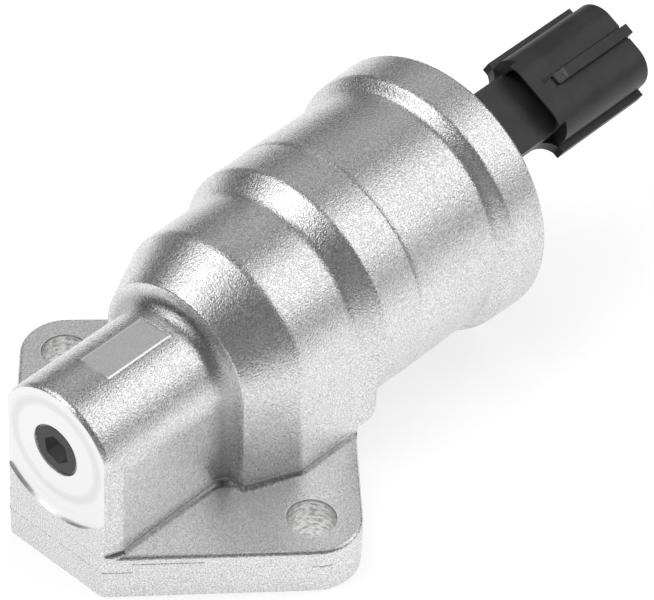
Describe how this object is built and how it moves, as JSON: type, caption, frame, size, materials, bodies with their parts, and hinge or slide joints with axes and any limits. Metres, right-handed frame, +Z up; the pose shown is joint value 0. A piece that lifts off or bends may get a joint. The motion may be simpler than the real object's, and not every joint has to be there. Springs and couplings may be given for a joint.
{
  "type": "idle air control valve",
  "caption": "Idle air control valve: cast body with two-bolt flange and air ports underneath, sprung solenoid stem valve inside, adjusting screw in the nose and a black plug connector",
  "frame": {"origin": "on the mounting face, midway between the two bolt holes", "axes": "+X along the valve axis from the nose to the connector, +Y through the bolt holes, +Z up away from the mounting face"},
  "size_m": [0.1117, 0.0618, 0.043],
  "materials": {
    "cast_aluminium": "shot-blasted casting",
    "blackened_steel": "blackened",
    "black_plastic": "matte moulding",
    "spring_steel": "drawn wire",
    "bronze": "sintered",
    "brass_seat": "turned",
    "plated_steel": "zinc plated",
    "black_rubber": "matte",
    "pale_plastic": "natural moulding",
    "copper_wire": "enamelled winding",
    "tinned_metal": "tinned",
    "ground_steel": "ground",
    "turned_aluminium": "turned"
  },
  "bodies": {
    "valve_body": {"housing": "cast_aluminium", "adjusting_screw": "blackened_steel", "end_cap": "black_plastic", "trim_spring": "spring_steel", "front_bush": "bronze", "valve_seat": "brass_seat", "front_plate": "plated_steel", "middle_bush": "bronze", "plate_seal": "black_rubber", "guide_tube": "brass_seat", "return_spring": "spring_steel", "bobbin": "pale_plastic", "coil": "copper_wire", "yoke": "plated_steel", "rear_core": "plated_steel", "rear_bush": "bronze", "cap_seal": "black_rubber", "left_terminal": "tinned_metal", "right_terminal": "tinned_metal", "port_seals": "black_rubber"},
    "stem_group": {"valve_stem": "ground_steel", "stem_clips": "spring_steel", "valve_head": "turned_aluminium", "valve_seal": "black_rubber", "armature": "plated_steel"}
  },
  "joints": [
    {"name": "valve_lift", "type": "slide", "parent": "valve_body", "child": "stem_group", "axis": [1, 0, 0], "range_m": [0, 0.003], "stiffness_N_per_m": 600, "springref_m": -0.004, "deforming": ["return_spring", "trim_spring"]}
  ]
}
